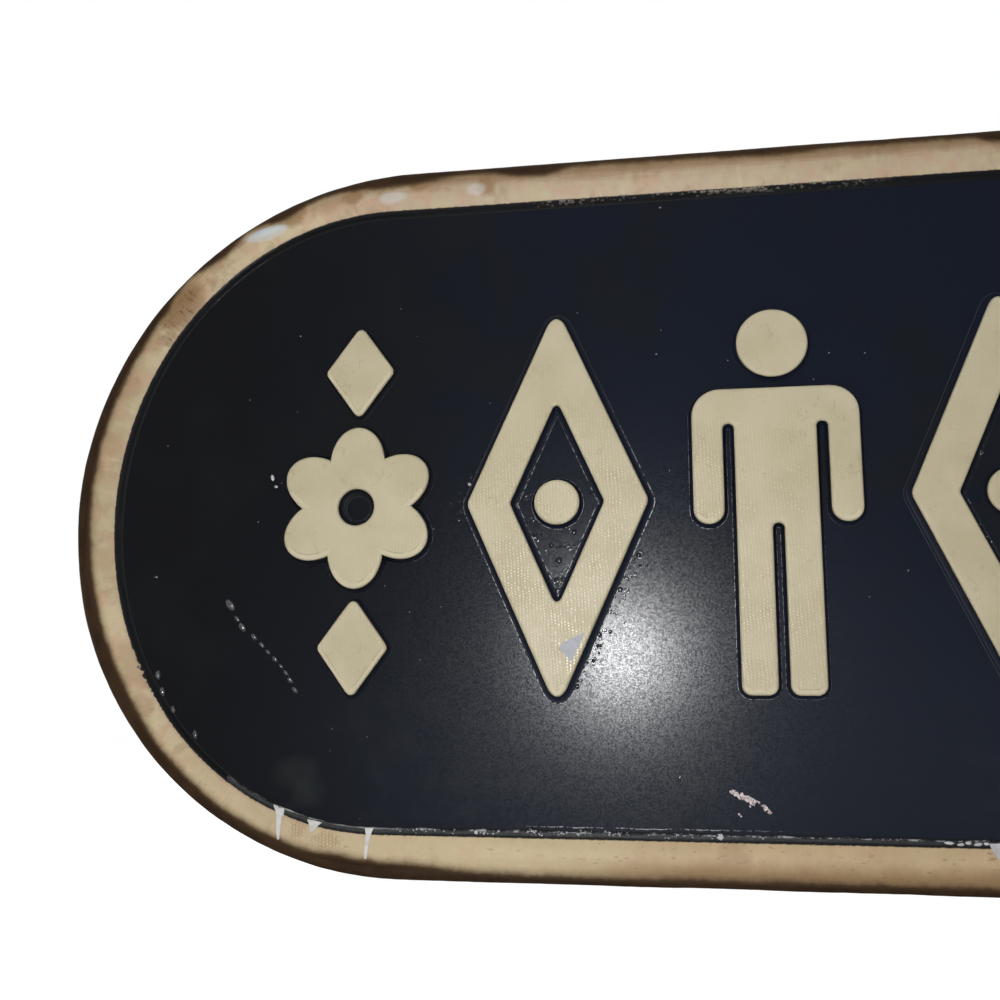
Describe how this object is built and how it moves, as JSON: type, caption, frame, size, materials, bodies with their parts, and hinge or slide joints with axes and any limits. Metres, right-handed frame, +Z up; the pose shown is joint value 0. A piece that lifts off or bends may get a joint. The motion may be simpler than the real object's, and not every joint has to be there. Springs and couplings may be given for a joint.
{
  "type": "restroom sign",
  "caption": "Wall plaque with half round ends, a dark recessed ground, a raised cream rim and raised cream cut-outs, hung on keyhole plates.",
  "frame": {"origin": "middle of the flat back face of the base board, which rests on the wall", "axes": "+X along the sign to the viewer's right, +Y out of the back into the wall, +Z up"},
  "size_m": [0.4, 0.018, 0.2],
  "materials": {
    "board": "dark brown stain",
    "ground": "navy gloss paint",
    "rim": "aged cream paint with a brown edge",
    "raised": "aged cream paint over linen",
    "hardware": "dull zinc plate"
  },
  "bodies": {
    "root": {"base_board": "board", "ground_panel": "ground", "rim_left_bow": "rim", "rim_right_bow": "rim", "rim_top_rail": "rim", "rim_bottom_rail": "rim", "figure_head": "raised", "figure_body": "raised", "lozenge_left": "raised", "lozenge_right": "raised", "boss_left": "raised", "boss_right": "raised", "rosette_left": "raised", "rosette_right": "raised", "drop_left_upper": "raised", "drop_left_lower": "raised", "drop_right_upper": "raised", "drop_right_lower": "raised", "hanger_plate_left": "hardware", "hanger_plate_right": "hardware", "rim_screw_01": "hardware", "rim_screw_02": "hardware", "rim_screw_03": "hardware", "rim_screw_04": "hardware", "rim_screw_05": "hardware", "rim_screw_06": "hardware", "rim_screw_07": "hardware", "rim_screw_08": "hardware", "rim_screw_09": "hardware", "rim_screw_10": "hardware", "plate_screw_left_upper": "hardware", "plate_screw_left_lower": "hardware", "plate_screw_right_upper": "hardware", "plate_screw_right_lower": "hardware"}
  },
  "joints": []
}
